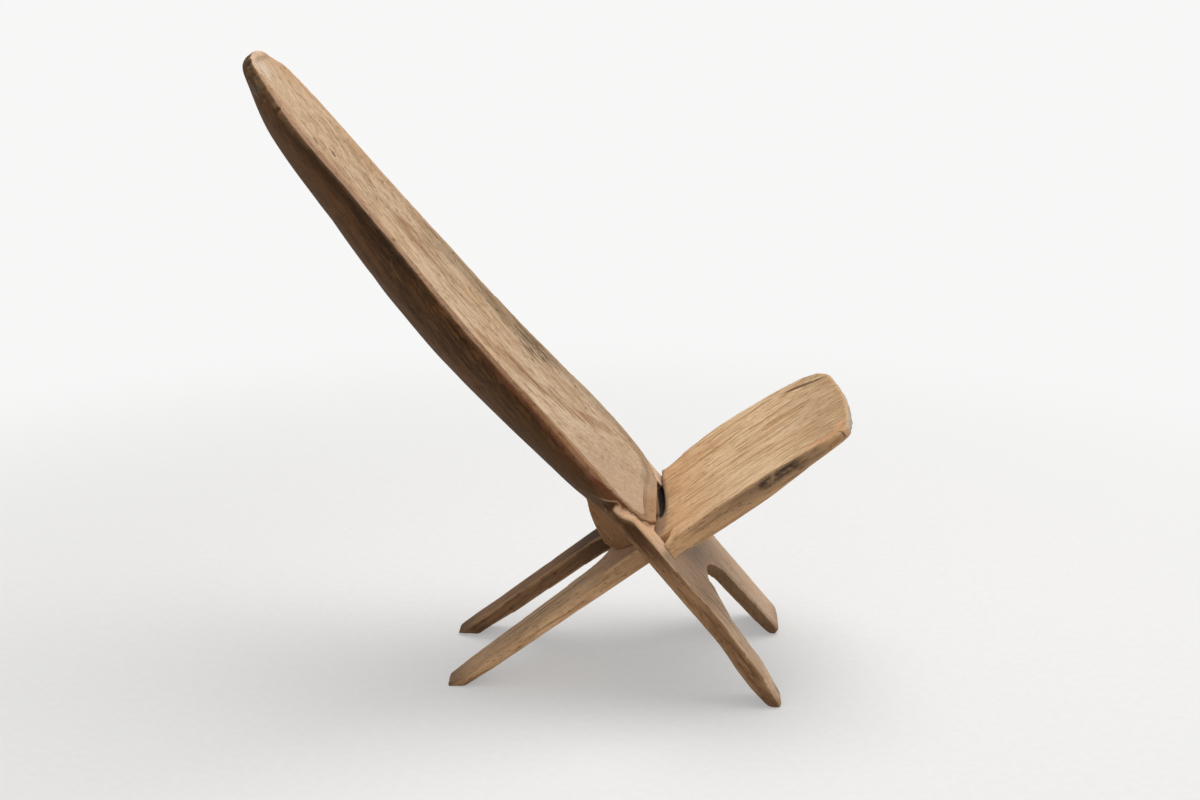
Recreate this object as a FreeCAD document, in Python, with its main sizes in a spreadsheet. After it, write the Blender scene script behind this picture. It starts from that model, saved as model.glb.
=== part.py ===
import FreeCAD, Part

import math
import os

import Sketcher

# A low two-piece reclining chair, carved from two planks that cross in an X.
# The back piece is a dished blade whose lower end forks into the two front legs.
# The seat piece is a dished board whose tail forks into the two rear legs.
# The tail passes through a slot between the front legs, and a heel block on the
# back piece bears on it. Lengths are millimetres, angles are degrees.
#
# Whole chair: +X runs to the front of the seat, +Y to the sitter's left, +Z up.
# Each piece is drawn lying on its own plank: X across, Y along, Z out of its face.

SIZES = {
    # How the two planks lie
    "back_lean": 50.0,
    "seat_slope": 36.4,
    "leg_face_offset": 176.0,
    "tail_top_offset": 141.0,
    "slot_clearance": 0.4,
    "side_clearance": 1.0,
    "overrun": 240.0,
    "leg_trim": 60.0,
    # Blade of the back piece
    "blade_length": 770.5,
    "blade_width": 294.0,
    "blade_depth": 80.0,
    "blade_edge": 18.0,
    "blade_end_length": 80.0,
    "lip_rise": 5.0,
    "lip_gap": 8.4,
    "rim_sink": 6.5,
    "rim_width": 9.0,
    "dish_depth": 36.0,
    "dish_margin": 11.0,
    # Front legs, on the back piece: right is the sitter's right
    "front_leg_thickness": 23.0,
    "front_leg_spread": 151.0,
    "right_foot_spread": 157.0,
    "left_foot_spread": 163.0,
    "right_foot_inner": 113.0,
    "left_foot_inner": 90.0,
    "right_face_taper": 17.0,
    "right_back_taper": 1.0,
    "left_face_taper": 1.0,
    "left_back_taper": 6.0,
    "toe_bevel": 11.0,
    "front_leg_root": 65.0,
    "front_leg_root_rise": 23.0,
    "shoulder_bevel_run": 27.0,
    "shoulder_bevel_drop": 24.0,
    "web_height": 78.0,
    "front_arch_width": 168.0,
    "front_arch_height": 42.0,
    "front_arch_offset": 19.0,
    # Heel block, on the back piece
    "heel_width": 96.0,
    "heel_root_width": 190.0,
    "heel_height": 84.0,
    "heel_depth": 52.0,
    "heel_lean": 26.0,
    "heel_corner": 14.0,
    # Board of the seat piece
    "seat_width": 314.0,
    "seat_front": 451.0,
    "seat_near_corner": 22.0,
    "seat_far_corner": 60.0,
    "seat_front_bow": 7.0,
    "seat_side_bow": 5.0,
    "seat_crown": 4.0,
    "seat_front_thickness": 15.0,
    "seat_front_drop": 9.0,
    "seat_rim_width": 7.0,
    "seat_dish_depth": 11.0,
    "shoulder_gap": 1.5,
    "shoulder_relief": 14.0,
    # Tail and rear legs, on the seat piece
    "tail_thickness": 23.5,
    "tail_width": 212.0,
    "right_heel_taper": 10.0,
    "left_heel_taper": 6.0,
    "rear_crotch_cover": 50.0,
    "rear_arch_width": 108.0,
    "rear_arch_height": 44.0,
    "rear_foot_inner": 66.0,
}

doc = FreeCAD.newDocument("two_piece_chair")
sheet = doc.addObject("Spreadsheet::Sheet", "Sizes")
for row, (name, number) in enumerate(SIZES.items(), start=1):
    sheet.set(f"A{row}", name)
    sheet.set(f"B{row}", str(number))
    sheet.setAlias(f"B{row}", name)
doc.recompute()


class Size:
    """A length, kept both as a number and as the sheet expression that gives it."""

    def __init__(self, number, text):
        self.number = number
        self.text = text

    def __add__(self, other):
        return Size(self.number + other.number, f"({self.text} + {other.text})")

    def __sub__(self, other):
        return Size(self.number - other.number, f"({self.text} - {other.text})")

    def __mul__(self, share):
        if isinstance(share, Size):
            return Size(self.number * share.number, f"({self.text} * {share.text})")
        return Size(self.number * share, f"({self.text} * {share})")

    def __truediv__(self, other):
        if isinstance(other, Size):
            return Size(self.number / other.number, f"({self.text} / {other.text})")
        return Size(self.number / other, f"({self.text} / {other})")

    def __neg__(self):
        return Size(-self.number, f"(-{self.text})")


def size(name):
    """The size of that name in the sheet."""
    return Size(SIZES[name], f"Sizes.{name}")


def sine(angle):
    return Size(math.sin(math.radians(angle.number)), f"sin({angle.text} * 1 deg)")


def cosine(angle):
    return Size(math.cos(math.radians(angle.number)), f"cos({angle.text} * 1 deg)")


ZERO = Size(0.0, "0")

# The two planks meet at the sum of their angles. A point of the seat plank at a
# given offset from its own plane crosses the back plank at this place along it.
CROSSING = size("back_lean") + size("seat_slope")


def along_back(seat_offset, back_offset):
    """Where a plane of the seat plank meets a plane of the back plank, along the back."""
    return (seat_offset - back_offset * cosine(CROSSING)) / sine(CROSSING)


def along_seat(seat_offset, back_offset):
    """Where a plane of the back plank meets a plane of the seat plank, along the seat."""
    return (back_offset - seat_offset * cosine(CROSSING)) / sine(CROSSING)


def floor_along(angle, offset):
    """Where the floor meets a plane of a plank that leans at that angle, along it."""
    return -(offset * cosine(angle) / sine(angle))


def origin_plane(body, role):
    """One of the body's own origin planes, by its role."""
    return next(item for item in body.Origin.OriginFeatures if item.Role == role)


class Outline:
    """A sketch whose points are tied to the sheet, joined by lines and three-point arcs."""

    def __init__(self, body, name, role, offset=ZERO):
        self.sketch = body.newObject("Sketcher::SketchObject", name)
        self.sketch.AttachmentSupport = [(origin_plane(body, role), "")]
        self.sketch.MapMode = "FlatFace"
        self.sketch.AttachmentOffset = FreeCAD.Placement(
            FreeCAD.Vector(0, 0, offset.number), FreeCAD.Rotation()
        )
        if offset is not ZERO:
            self.sketch.setExpression("AttachmentOffset.Base.z", offset.text)

    def tie(self, kind, geometry, end, length):
        """Fix one coordinate of a point, measured from the sketch's origin."""
        if length is ZERO:
            axis = -2 if kind == "DistanceX" else -1
            self.sketch.addConstraint(
                Sketcher.Constraint("PointOnObject", geometry, end, axis)
            )
            return
        index = self.sketch.addConstraint(
            Sketcher.Constraint(kind, -1, 1, geometry, end, length.number)
        )
        self.sketch.setExpression(f"Constraints[{index}]", length.text)

    def place(self, geometry, end, point):
        self.tie("DistanceX", geometry, end, point[0])
        self.tie("DistanceY", geometry, end, point[1])

    def loop(self, steps):
        """Draw a closed loop. A step is a corner (x, y), or ("arc", x, y) for a point
        that the edge from the corner before it to the corner after it passes through."""
        corners = [step for step in steps if step[0] != "arc"]
        bends = {}
        count = -1
        for step in steps:
            if step[0] == "arc":
                bends[count] = step[1:]
            else:
                count += 1
        ends = []
        for index, start in enumerate(corners):
            finish = corners[(index + 1) % len(corners)]
            ends.append(self.edge(start, finish, bends.get(index)))
        for index, (geometry, first, last) in enumerate(ends):
            after, after_first, after_last = ends[(index + 1) % len(ends)]
            self.sketch.addConstraint(
                Sketcher.Constraint("Coincident", geometry, last, after, after_first)
            )
        for (geometry, first, last), corner in zip(ends, corners):
            self.place(geometry, first, corner)
        return self

    def edge(self, start, finish, bend):
        """Add one line or arc, and return it with the numbers of its two ends."""
        first = FreeCAD.Vector(start[0].number, start[1].number, 0)
        last = FreeCAD.Vector(finish[0].number, finish[1].number, 0)
        if bend is None:
            return self.sketch.addGeometry(Part.LineSegment(first, last)), 1, 2
        middle = FreeCAD.Vector(bend[0].number, bend[1].number, 0)
        # Sketch arcs run anticlockwise, so one bending the other way is drawn from its end.
        forward = (middle - first).cross(last - middle).z > 0
        drawn = Part.Arc(first, middle, last) if forward else Part.Arc(last, middle, first)
        arc = self.sketch.addGeometry(drawn)
        helper = self.sketch.addGeometry(Part.Point(middle), True)
        self.place(helper, 1, bend)
        self.sketch.addConstraint(Sketcher.Constraint("PointOnObject", helper, 1, arc))
        return (arc, 1, 2) if forward else (arc, 2, 1)


def pad(body, name, outline, length, midplane=False):
    """Add a prism of the outline, upwards or to both sides."""
    feature = body.newObject("PartDesign::Pad", name)
    feature.Profile = outline.sketch
    feature.Midplane = midplane
    feature.Length = length.number
    feature.setExpression("Length", length.text)
    doc.recompute()
    return feature


def pocket(body, name, outline, width=None):
    """Cut a prism of the outline, right through or to a width about the middle."""
    before = body.Shape.Volume
    feature = body.newObject("PartDesign::Pocket", name)
    feature.Profile = outline.sketch
    feature.Midplane = True
    if width is None:
        feature.Type = "ThroughAll"
    else:
        feature.Type = "Length"
        feature.Length = width.number
        feature.setExpression("Length", width.text)
    doc.recompute()
    print(f"{name}: takes away {(before - body.Shape.Volume) / 1000:.1f} cm3")
    if body.Shape.Volume >= before:
        raise RuntimeError(f"{name} cuts nothing")
    return feature


def loft(body, name, outlines, subtract=False):
    """Add or cut a smooth solid through a row of cross-sections."""
    kind = "PartDesign::SubtractiveLoft" if subtract else "PartDesign::AdditiveLoft"
    feature = body.newObject(kind, name)
    feature.Profile = outlines[0].sketch
    feature.Sections = [outline.sketch for outline in outlines[1:]]
    feature.Ruled = False
    doc.recompute()
    return feature


# Back piece

back = doc.addObject("PartDesign::Body", "back_with_front_legs")
back.Label = "back_with_front_legs"

leg_face = size("leg_face_offset")
slot_floor = size("tail_top_offset") - size("tail_thickness") - size("slot_clearance")
slot_roof = size("tail_top_offset") + size("slot_clearance")
slot_half_width = size("tail_width") / 2 + size("side_clearance")

# The heel block stands behind the legs and bears down on the seat piece's tail. It
# narrows towards its back.
leg_back = leg_face - size("front_leg_thickness")
heel_foot = along_back(slot_floor + size("tail_thickness") / 2, leg_back)
heel_top = along_back(slot_roof, leg_back) + size("heel_height")
heel_back = leg_back - size("heel_depth")
heel_root = leg_face - size("front_leg_thickness") / 2
HEEL_BULGE_SHARE = 0.33
heel_bulge = heel_back + size("heel_lean") * HEEL_BULGE_SHARE
heel_outline = Outline(back, "heel_outline", "YZ_Plane")
heel_outline.loop([
    (heel_foot, heel_root),
    (heel_foot, heel_back + size("heel_corner")),
    (along_back(slot_roof, heel_back) + size("heel_corner"), heel_back),
    ("arc", (heel_top + heel_foot) / 2 + size("heel_corner"), heel_bulge),
    (heel_top, heel_back + size("heel_lean")),
    (heel_top + size("heel_corner"), heel_root),
])
pad(back, "heel_block", heel_outline, size("heel_root_width"), midplane=True)

heel_half = size("heel_width") / 2
heel_root_half = size("heel_root_width") / 2
heel_sides = Outline(back, "heel_sides_outline", "XZ_Plane")
for hand in (-1.0, 1.0):
    heel_sides.loop([
        (heel_root_half * hand, leg_back),
        (heel_half * hand, heel_back),
        (heel_half * hand, heel_back - size("overrun")),
        ((heel_root_half + size("overrun")) * hand, heel_back - size("overrun")),
        ((heel_root_half + size("overrun")) * hand, leg_back),
    ])
pocket(back, "heel_sides", heel_sides)

# The blade's cross-sections, from its lower end to its top, as shares of its length,
# of half its width, of its depth, of its edge and of the rise of the rim to the lip.
BLADE_STATION_SHARES = (0.0, 0.012, 0.035, 0.07, 0.101, 0.26, 0.40, 0.56, 0.74, 0.90, 1.0)
BLADE_WIDTH_SHARES = (0.57, 0.70, 0.865, 0.945, 0.995, 0.93, 0.855, 0.765, 0.66, 0.575, 0.53)
BLADE_DEPTH_SHARES = (0.70, 0.71, 0.725, 0.75, 0.775, 0.905, 0.97, 0.95, 0.80, 0.62, 0.24)
BLADE_EDGE_SHARES = (0.80, 0.81, 0.83, 0.86, 0.89, 1.0, 1.0, 1.0, 0.88, 0.67, 0.40)
LIP_RISE_SHARES = (1.0, 1.0, 1.0, 0.97, 0.90, 0.50, 0.14, 0.0, 0.0, 0.0, 0.0)

blade_start = along_back(slot_roof, leg_face + size("lip_rise")) + size("lip_gap")


def blade_station(share):
    return blade_start + size("blade_length") * share


def rim_level(rise_share):
    """How far the rim lies out along the plank's own normal."""
    fall = size("rim_sink") * (1.0 - rise_share)
    return leg_face + size("lip_rise") * rise_share - fall


# The two front legs run down beside the slot, joined below it by a web over an arch.
# They run on past the floor, and are cut level later.
foot_end = floor_along(size("back_lean"), leg_face) - size("leg_trim")
arch_top = along_back(slot_floor, leg_face) - size("web_height")
arch_spring = arch_top - size("front_arch_height")
arch_middle = -size("front_arch_offset")
arch_half = size("front_arch_width") / 2
leg_top = blade_start + size("front_leg_root")
leg_spread = size("front_leg_spread")
LEG_ROOT_SHARE = 0.66
leg_root_half = leg_spread * LEG_ROOT_SHARE
leg_root_top = leg_top + size("front_leg_root_rise")
leg_knee = along_back(slot_floor, leg_face)
legs_outline = Outline(back, "front_legs_outline", "XY_Plane", leg_back)
legs_outline.loop([
    (-leg_spread, leg_top),
    (-leg_root_half, leg_root_top),
    (leg_root_half, leg_root_top),
    (leg_spread, leg_top),
    (leg_spread, leg_knee),
    (size("left_foot_spread"), foot_end),
    (size("left_foot_inner"), foot_end),
    (arch_middle + arch_half, arch_spring),
    ("arc", arch_middle, arch_top),
    (arch_middle - arch_half, arch_spring),
    (-size("right_foot_inner"), foot_end),
    (-size("right_foot_spread"), foot_end),
    (-leg_spread, leg_knee),
])
pad(back, "front_legs", legs_outline, size("front_leg_thickness"))

# The top of the legs slopes away in front, down to a crease beside the blade.
bevel_outline = Outline(back, "shoulder_bevel_outline", "YZ_Plane")
bevel_run = size("shoulder_bevel_run")
bevel_outline.loop([
    (leg_top - bevel_run, leg_face),
    (leg_top + bevel_run, leg_face - size("shoulder_bevel_drop")),
    (leg_top + bevel_run, leg_face + size("overrun")),
    (leg_top - bevel_run, leg_face + size("overrun")),
])
pocket(back, "shoulder_bevels", bevel_outline)

# The blade is lofted over the tops of the legs.
hull_sections = []
for number, share in enumerate(BLADE_STATION_SHARES):
    half = size("blade_width") / 2 * BLADE_WIDTH_SHARES[number]
    rim = rim_level(LIP_RISE_SHARES[number])
    belly = rim - size("blade_depth") * BLADE_DEPTH_SHARES[number]
    edge = rim - size("blade_edge") * BLADE_EDGE_SHARES[number]
    section = Outline(back, f"blade_section_{number}", "XZ_Plane", -blade_station(share))
    section.loop([(-half, rim), (half, rim), (half, edge), ("arc", ZERO, belly), (-half, edge)])
    hull_sections.append(section)
loft(back, "blade_hull", hull_sections)

# The top end is rounded off in plan by an arc.
TOP_WIDTH_SHARE = 0.56
top = blade_station(1.0)
top_round = Outline(back, "blade_top_outline", "XY_Plane")
top_half = size("blade_width") / 2 * TOP_WIDTH_SHARE
top_spring = top - size("blade_end_length")
top_round.loop([
    (-top_half, top_spring),
    ("arc", ZERO, top),
    (top_half, top_spring),
    (top_half + size("overrun"), top_spring),
    (top_half + size("overrun"), top + size("overrun")),
    (-top_half - size("overrun"), top + size("overrun")),
    (-top_half - size("overrun"), top_spring),
])
pocket(back, "blade_top_round", top_round)

# The sitter's side is hollowed along the blade, leaving a rim all round.
DISH_STATION_SHARES = (0.0, 0.02, 0.06, 0.28, 0.55, 0.80, 1.0)
DISH_WIDTH_SHARES = (0.72, 0.85, 0.945, 0.93, 0.79, 0.62, 0.42)
DISH_DEPTH_SHARES = (0.16, 0.33, 0.55, 1.0, 1.0, 0.72, 0.12)
DISH_RISE_SHARES = (1.0, 1.0, 0.96, 0.42, 0.0, 0.0, 0.0)

dish_length = size("blade_length") - size("dish_margin") * 2
dish_sections = []
for number, share in enumerate(DISH_STATION_SHARES):
    half = size("blade_width") / 2 * DISH_WIDTH_SHARES[number] - size("rim_width")
    rim = rim_level(DISH_RISE_SHARES[number])
    bed = rim - size("dish_depth") * DISH_DEPTH_SHARES[number]
    place = blade_start + size("dish_margin") + dish_length * share
    section = Outline(back, f"dish_section_{number}", "XZ_Plane", -place)
    section.loop([
        (-half, rim),
        ("arc", ZERO, bed),
        (half, rim),
        (half, rim + size("overrun")),
        (-half, rim + size("overrun")),
    ])
    dish_sections.append(section)
loft(back, "blade_dish", dish_sections, subtract=True)

# The slot runs through the back piece along the seat plank. In front its roof opens
# upwards, to a gap under the blade's lip.
slot_behind = heel_back - size("overrun")
slot_before = leg_face + size("lip_rise") + size("overrun")
slot_outline = Outline(back, "slot_outline", "YZ_Plane")
slot_outline.loop([
    (along_back(slot_floor, slot_behind), slot_behind),
    (along_back(slot_floor, slot_before), slot_before),
    (blade_start, slot_before),
    (blade_start, leg_face + size("lip_rise")),
    (along_back(slot_roof, leg_back), leg_back),
    (along_back(slot_roof, slot_behind), slot_behind),
])
pocket(back, "slot", slot_outline, slot_half_width * 2)

# Each front leg thins towards its foot, by its own amounts on the face and the back.
# Each cut runs from the middle of the piece to well past that leg.


def leg_wedge(body, name, top, tip, level, taper, side):
    """Thin one leg by a wedge that starts at top and is taper deep at tip. The sign of
    side picks the leg, and a taper below zero thins the leg from its back."""
    outward = size("overrun") if taper.number > 0 else -size("overrun")
    middle = size("overrun") / 2 * side
    wedge = Outline(body, f"{name}_outline", "YZ_Plane", middle)
    wedge.loop([
        (top, level),
        (tip, level - taper),
        (tip, level + outward),
        (top, level + outward),
    ])
    pocket(body, name, wedge, size("overrun"))


leg_wedge(back, "right_leg_face_cut", arch_top, foot_end, leg_face, size("right_face_taper"), -1)
leg_wedge(back, "left_leg_face_cut", arch_top, foot_end, leg_face, size("left_face_taper"), 1)
leg_wedge(back, "right_leg_back_cut", arch_top, foot_end, leg_back, -size("right_back_taper"), -1)
leg_wedge(back, "left_leg_back_cut", arch_top, foot_end, leg_back, -size("left_back_taper"), 1)

# The soles are cut level, so that the feet stand flat.
sole = Outline(back, "front_sole_outline", "YZ_Plane")
sole_behind = leg_back - size("overrun")
sole_before = leg_face + size("overrun")
sole_lean = size("back_lean")
sole.loop([
    (floor_along(sole_lean, sole_behind), sole_behind),
    (floor_along(sole_lean, sole_before), sole_before),
    (floor_along(sole_lean, sole_before) - size("overrun"), sole_before),
    (floor_along(sole_lean, sole_behind) - size("overrun"), sole_behind),
])
sole_width = size("overrun") * 2
pocket(back, "front_soles", sole, sole_width)

# The toe of each front foot is worn back to a bevel, square to the leg.
toe = floor_along(size("back_lean"), leg_face)
bevel = size("toe_bevel")
toe_outline = Outline(back, "toe_outline", "YZ_Plane")
toe_outline.loop([
    (toe + bevel, leg_face + bevel),
    (toe + bevel, leg_face - bevel),
    (toe - size("overrun"), leg_face - bevel),
    (toe - size("overrun"), leg_face + bevel),
])
pocket(back, "toe_bevels", toe_outline, sole_width)

# Seat piece

seat = doc.addObject("PartDesign::Body", "seat_with_rear_legs")
seat.Label = "seat_with_rear_legs"

tail_top = size("tail_top_offset")
tail_under = tail_top - size("tail_thickness")
shoulder = along_seat(tail_under, leg_face) + size("shoulder_gap")
seat_front = size("seat_front")
seat_middle = (shoulder + seat_front) / 2
front_top = tail_top - size("seat_front_drop")
rear_end = floor_along(size("seat_slope"), tail_top) - size("leg_trim")

# The plank seen from its side: flat along the tail, crowned along the board.
side = Outline(seat, "seat_side_outline", "YZ_Plane")
side.loop([
    (rear_end, tail_under),
    (seat_middle, tail_under),
    (seat_front, front_top - size("seat_front_thickness")),
    (seat_front, front_top),
    ("arc", seat_middle, tail_top + size("seat_crown")),
    (shoulder, tail_top),
    (rear_end, tail_top),
])
pad(seat, "seat_plank", side, size("seat_width") + size("overrun"), midplane=True)

# The plank seen from above: board, shoulders, tail and the two rear legs.
board_half = size("seat_width") / 2
tail_half = size("tail_width") / 2
near_corner = size("seat_near_corner")
far_corner = size("seat_far_corner")
corner_share = 1.0 - math.sqrt(0.5)
rear_crotch = along_seat(tail_under, leg_back) - size("rear_crotch_cover")
rear_arch_spring = rear_crotch - size("rear_arch_height")
rear_arch_half = size("rear_arch_width") / 2
rim_front = seat_front + size("overrun")
plan = Outline(seat, "seat_plan_outline", "XY_Plane")
frame_half = size("seat_width") / 2 + size("overrun")
frame_rear = rear_end - size("overrun")
plan.loop([
    (-frame_half, frame_rear),
    (frame_half, frame_rear),
    (frame_half, rim_front),
    (-frame_half, rim_front),
])
front_side = seat_front - size("seat_front_bow")
plan.loop([
    (-board_half + far_corner, front_side),
    ("arc", ZERO, seat_front),
    (board_half - near_corner, front_side),
    ("arc", board_half - near_corner * corner_share, front_side - near_corner * corner_share),
    (board_half, front_side - near_corner),
    ("arc", board_half + size("seat_side_bow"), seat_middle),
    (board_half, shoulder),
    (tail_half, shoulder),
    (tail_half, rear_end),
    (size("rear_foot_inner"), rear_end),
    (rear_arch_half, rear_arch_spring),
    ("arc", ZERO, rear_crotch),
    (-rear_arch_half, rear_arch_spring),
    (-size("rear_foot_inner"), rear_end),
    (-tail_half, rear_end),
    (-tail_half, shoulder),
    (-board_half, shoulder),
    ("arc", -board_half - size("seat_side_bow"), seat_middle),
    (-board_half, front_side - far_corner),
    ("arc", -board_half + far_corner * corner_share, front_side - far_corner * corner_share),
])
pocket(seat, "seat_plan_trim", plan)

# The top of the board is hollowed from side to side, out under the blade's lip.
SEAT_DISH_STATION_SHARES = (0.0, 0.30, 0.65, 1.0)
SEAT_DISH_WIDTH_SHARES = (0.72, 1.0, 1.0, 0.96)
SEAT_DISH_DEPTH_SHARES = (0.90, 0.97, 1.0, 0.35)
SEAT_CROWN_SHARES = (0.0, 0.80, 0.90, 0.0)
SEAT_DROP_SHARES = (0.0, 0.0, 0.0, 1.0)

seat_dish_start = along_seat(tail_top, leg_back)
seat_dish_length = seat_front - seat_dish_start
seat_dish_sections = []
for number, share in enumerate(SEAT_DISH_STATION_SHARES):
    half = board_half * SEAT_DISH_WIDTH_SHARES[number] - size("seat_rim_width")
    drop = size("seat_front_drop") * SEAT_DROP_SHARES[number]
    level = tail_top + size("seat_crown") * SEAT_CROWN_SHARES[number] - drop
    bed = level - size("seat_dish_depth") * SEAT_DISH_DEPTH_SHARES[number]
    place = seat_dish_start + seat_dish_length * share
    section = Outline(seat, f"seat_dish_section_{number}", "XZ_Plane", -place)
    section.loop([
        (-half, level),
        ("arc", ZERO, bed),
        (half, level),
        (half, level + size("overrun")),
        (-half, level + size("overrun")),
    ])
    seat_dish_sections.append(section)
loft(seat, "seat_dish", seat_dish_sections, subtract=True)

# The sitter's right shoulder is cut back in a wedge, clear of the front leg. In the
# seat piece's own frame, X runs to the sitter's right.
relief = Outline(seat, "shoulder_relief_outline", "XY_Plane")
relief_end = board_half + size("seat_side_bow")
relief.loop([
    (tail_half, shoulder - size("overrun")),
    (tail_half, shoulder + size("shoulder_relief")),
    (relief_end, shoulder),
    (relief_end, shoulder - size("overrun")),
])
pocket(seat, "shoulder_relief", relief)

# Each rear leg thins towards its heel, on its upper side.
leg_wedge(seat, "right_heel_cut", rear_arch_spring, rear_end, tail_top, size("right_heel_taper"), 1)
leg_wedge(seat, "left_heel_cut", rear_arch_spring, rear_end, tail_top, size("left_heel_taper"), -1)

# The rear soles are cut level.
rear_sole = Outline(seat, "rear_sole_outline", "YZ_Plane")
rear_sole_lean = size("seat_slope")
rear_sole_under = tail_under - size("overrun")
rear_sole_over = tail_top + size("overrun")
rear_sole.loop([
    (floor_along(rear_sole_lean, rear_sole_under), rear_sole_under),
    (floor_along(rear_sole_lean, rear_sole_over), rear_sole_over),
    (floor_along(rear_sole_lean, rear_sole_over) - size("overrun"), rear_sole_over),
    (floor_along(rear_sole_lean, rear_sole_under) - size("overrun"), rear_sole_under),
])
pocket(seat, "rear_soles", rear_sole, size("seat_width") + size("overrun"))

# Stand the two pieces up, crossed, with the origin under the middle of the chair.


def stand(body, across, along, outward, shift):
    """Place a piece so that its own axes lie along these three directions."""
    matrix = FreeCAD.Matrix(
        across.x, along.x, outward.x, shift,
        across.y, along.y, outward.y, 0,
        across.z, along.z, outward.z, 0,
        0, 0, 0, 1,
    )
    body.Placement = FreeCAD.Placement(matrix)


def stand_both(shift):
    lean = math.radians(SIZES["back_lean"])
    slope = math.radians(SIZES["seat_slope"])
    left = FreeCAD.Vector(0, 1, 0)
    stand(
        back, left,
        FreeCAD.Vector(-math.cos(lean), 0, math.sin(lean)),
        FreeCAD.Vector(math.sin(lean), 0, math.cos(lean)),
        shift,
    )
    stand(
        seat, -left,
        FreeCAD.Vector(math.cos(slope), 0, math.sin(slope)),
        FreeCAD.Vector(-math.sin(slope), 0, math.cos(slope)),
        shift,
    )
    doc.recompute()


stand_both(0)
whole = Part.makeCompound([back.Shape, seat.Shape]).optimalBoundingBox(False)
forward_shift = -(whole.XMin + whole.XMax) / 2
stand_both(forward_shift)
print(f"the origin lies {forward_shift:.2f} mm behind the middle of the feet")

# Check the document and write each piece.
for item in doc.Objects:
    if "Invalid" in item.State or "Error" in item.State:
        raise RuntimeError(f"{item.Label} did not build: {item.State}")

os.makedirs("parts", exist_ok=True)
for body in (back, seat):
    shape = body.Shape
    if shape.isNull() or not shape.isValid() or len(shape.Solids) != 1:
        raise RuntimeError(f"{body.Label} is not one valid solid")
    box = shape.optimalBoundingBox(False)
    print(
        f"{body.Label}: {shape.Volume / 1e6:.3f} litres,"
        f" x {box.XMin:.1f} to {box.XMax:.1f}, y {box.YMin:.1f} to {box.YMax:.1f},"
        f" z {box.ZMin:.2f} to {box.ZMax:.1f}"
    )
    shape.exportStep(f"parts/{body.Label}.step")

overlap = back.Shape.common(seat.Shape)
print(f"overlap of the two pieces: {overlap.Volume:.3f} mm3")
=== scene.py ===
# %% [markdown]
# # A low chair of two crossed planks
# The real chair is two thick planks of one dry, weathered hardwood. One is carved into
# a tall hollowed back with two front legs. The other is carved into a seat with a tail
# that runs through a slot in the first and ends in two rear legs.
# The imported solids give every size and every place. This lesson takes each solid, gives
# it the worn edges and uneven faces of hand work, and then finishes it as old wood, with
# its streaks, stains and drying checks.

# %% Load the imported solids
import math

import bmesh
import bpy
import mathutils
import numpy as np
from mathutils.bvhtree import BVHTree
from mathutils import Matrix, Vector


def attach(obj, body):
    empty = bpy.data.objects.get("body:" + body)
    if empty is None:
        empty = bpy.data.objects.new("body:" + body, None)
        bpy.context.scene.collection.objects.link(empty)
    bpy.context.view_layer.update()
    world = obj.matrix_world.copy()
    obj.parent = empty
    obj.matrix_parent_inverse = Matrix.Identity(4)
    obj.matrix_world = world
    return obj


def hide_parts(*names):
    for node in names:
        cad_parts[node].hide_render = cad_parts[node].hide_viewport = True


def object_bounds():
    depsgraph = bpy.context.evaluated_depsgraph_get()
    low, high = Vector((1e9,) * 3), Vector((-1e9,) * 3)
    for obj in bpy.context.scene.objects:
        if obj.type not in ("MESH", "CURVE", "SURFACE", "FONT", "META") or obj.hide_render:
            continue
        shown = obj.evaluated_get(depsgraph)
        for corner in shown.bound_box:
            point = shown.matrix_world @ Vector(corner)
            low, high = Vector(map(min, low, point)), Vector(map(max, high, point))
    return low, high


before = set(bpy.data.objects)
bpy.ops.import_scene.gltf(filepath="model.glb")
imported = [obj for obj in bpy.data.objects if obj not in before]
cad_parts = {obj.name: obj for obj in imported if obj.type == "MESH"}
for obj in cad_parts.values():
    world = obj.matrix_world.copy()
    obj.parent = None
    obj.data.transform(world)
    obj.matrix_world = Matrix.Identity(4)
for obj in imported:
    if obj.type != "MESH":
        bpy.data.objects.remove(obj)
solid_box = [list(corner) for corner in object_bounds()]
print("solid box, metres:", [[round(v, 4) for v in corner] for corner in solid_box])


def add_object(name, data):
    """A new object, linked to the scene."""
    made = bpy.data.objects.new(name, data)
    bpy.context.scene.collection.objects.link(made)
    return made



# %% [markdown]
# ## Coordinates that lie along each plank
# Wood is cut and worn along its grain, so every hollow, stain and streak is easiest to
# place along the plank: how far up it, how far across it, and how far out of its face.
# All these lengths are in millimetres. Across runs from the near side (negative) to the
# far side (positive), as seen with the seat's front to the right.

# %% Measure along a plank
ORIGIN_FORWARD = 87.85


class Plank:
    """The directions of one plank, for points and for shader values."""

    def __init__(self, along, out):
        self.along = np.array(along)
        self.out = np.array(out)
        self.turned = float(np.cross((0, 1, 0), along) @ out)

    def measure(self, points):
        """World metres to columns of across, along and out, in millimetres."""
        moved = points * 1000 - (ORIGIN_FORWARD, 0, 0)
        return np.stack([moved[:, 1], moved @ self.along, moved @ self.out], axis=1)

    def place(self, measured):
        """Columns of across, along and out back to world metres."""
        turned = measured[:, 1:2] * self.along + measured[:, 2:3] * self.out
        turned[:, 1] += measured[:, 0]
        turned[:, 0] += ORIGIN_FORWARD
        return turned / 1000


LEAN = math.radians(50)
SLOPE = math.radians(36.4)
BACK = Plank((-math.cos(LEAN), 0, math.sin(LEAN)), (math.sin(LEAN), 0, math.cos(LEAN)))
SEAT = Plank((math.cos(SLOPE), 0, math.sin(SLOPE)), (-math.sin(SLOPE), 0, math.cos(SLOPE)))
print("grain of the back runs along", BACK.along.round(3))
print("grain of the seat runs along", SEAT.along.round(3))

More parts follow.
